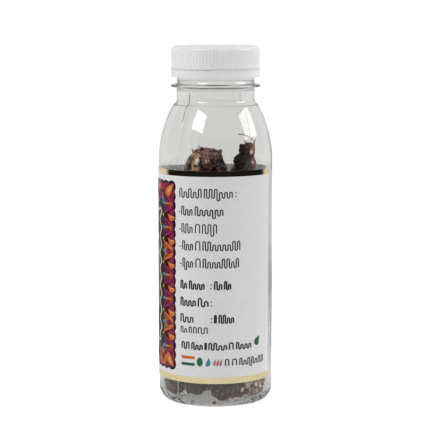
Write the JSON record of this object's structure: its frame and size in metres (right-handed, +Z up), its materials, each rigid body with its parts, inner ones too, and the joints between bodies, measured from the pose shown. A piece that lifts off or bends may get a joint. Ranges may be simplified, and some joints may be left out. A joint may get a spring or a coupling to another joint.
{
  "type": "bottle of peeled tamarind",
  "caption": "Clear round-shouldered bottle with a ribbed screw cap and a wrap label, filled with loose peeled tamarind pods.",
  "frame": {"origin": "middle of the base, on the surface that the bottle stands on", "axes": "+Z up along the bottle's axis; -Y is the front, where the label's plain panel faces; +X is the bottle's right, where the label's gap is"},
  "size_m": [0.0536, 0.0536, 0.1665],
  "materials": {
    "clear_pet": "gloss",
    "white_cap": "satin",
    "liner_foam": "matte",
    "label_paper": "satin",
    "gold_foil": "polished",
    "tamarind": "satin",
    "tamarind_fibre": "matte"
  },
  "bodies": {
    "bottle": {"bottle": "clear_pet", "tamper_band": "white_cap", "label": "label_paper", "tamarind_01": "tamarind", "tamarind_02": "tamarind", "tamarind_03": "tamarind", "tamarind_04": "tamarind", "tamarind_05": "tamarind", "tamarind_06": "tamarind", "tamarind_07": "tamarind", "tamarind_08": "tamarind", "tamarind_09": "tamarind", "tamarind_10": "tamarind", "tamarind_11": "tamarind", "tamarind_12": "tamarind", "tamarind_13": "tamarind", "tamarind_14": "tamarind", "tamarind_15": "tamarind", "tamarind_16": "tamarind", "tamarind_17": "tamarind", "tamarind_18": "tamarind", "tamarind_19": "tamarind", "tamarind_20": "tamarind", "tamarind_21": "tamarind", "tamarind_22": "tamarind", "tamarind_23": "tamarind", "tamarind_24": "tamarind", "tamarind_25": "tamarind", "tamarind_26": "tamarind", "tamarind_27": "tamarind", "tamarind_28": "tamarind"},
    "seal": {"cap_liner": "liner_foam"},
    "cap": {"cap": "white_cap"}
  },
  "joints": [
    {"name": "cap_lift", "type": "slide", "parent": "bottle", "child": "seal", "axis": [0, 0, 1], "range_m": [0, 0.0031]},
    {"name": "cap_turn", "type": "hinge", "parent": "seal", "child": "cap", "pos_m": [0, 0, 0.16], "axis": [0, 0, 1], "range_deg": [0, 120]}
  ],
  "couplings": [
    {"joint": "cap_lift", "follows": "cap_turn", "m_per_rad": 0.0014324}
  ]
}
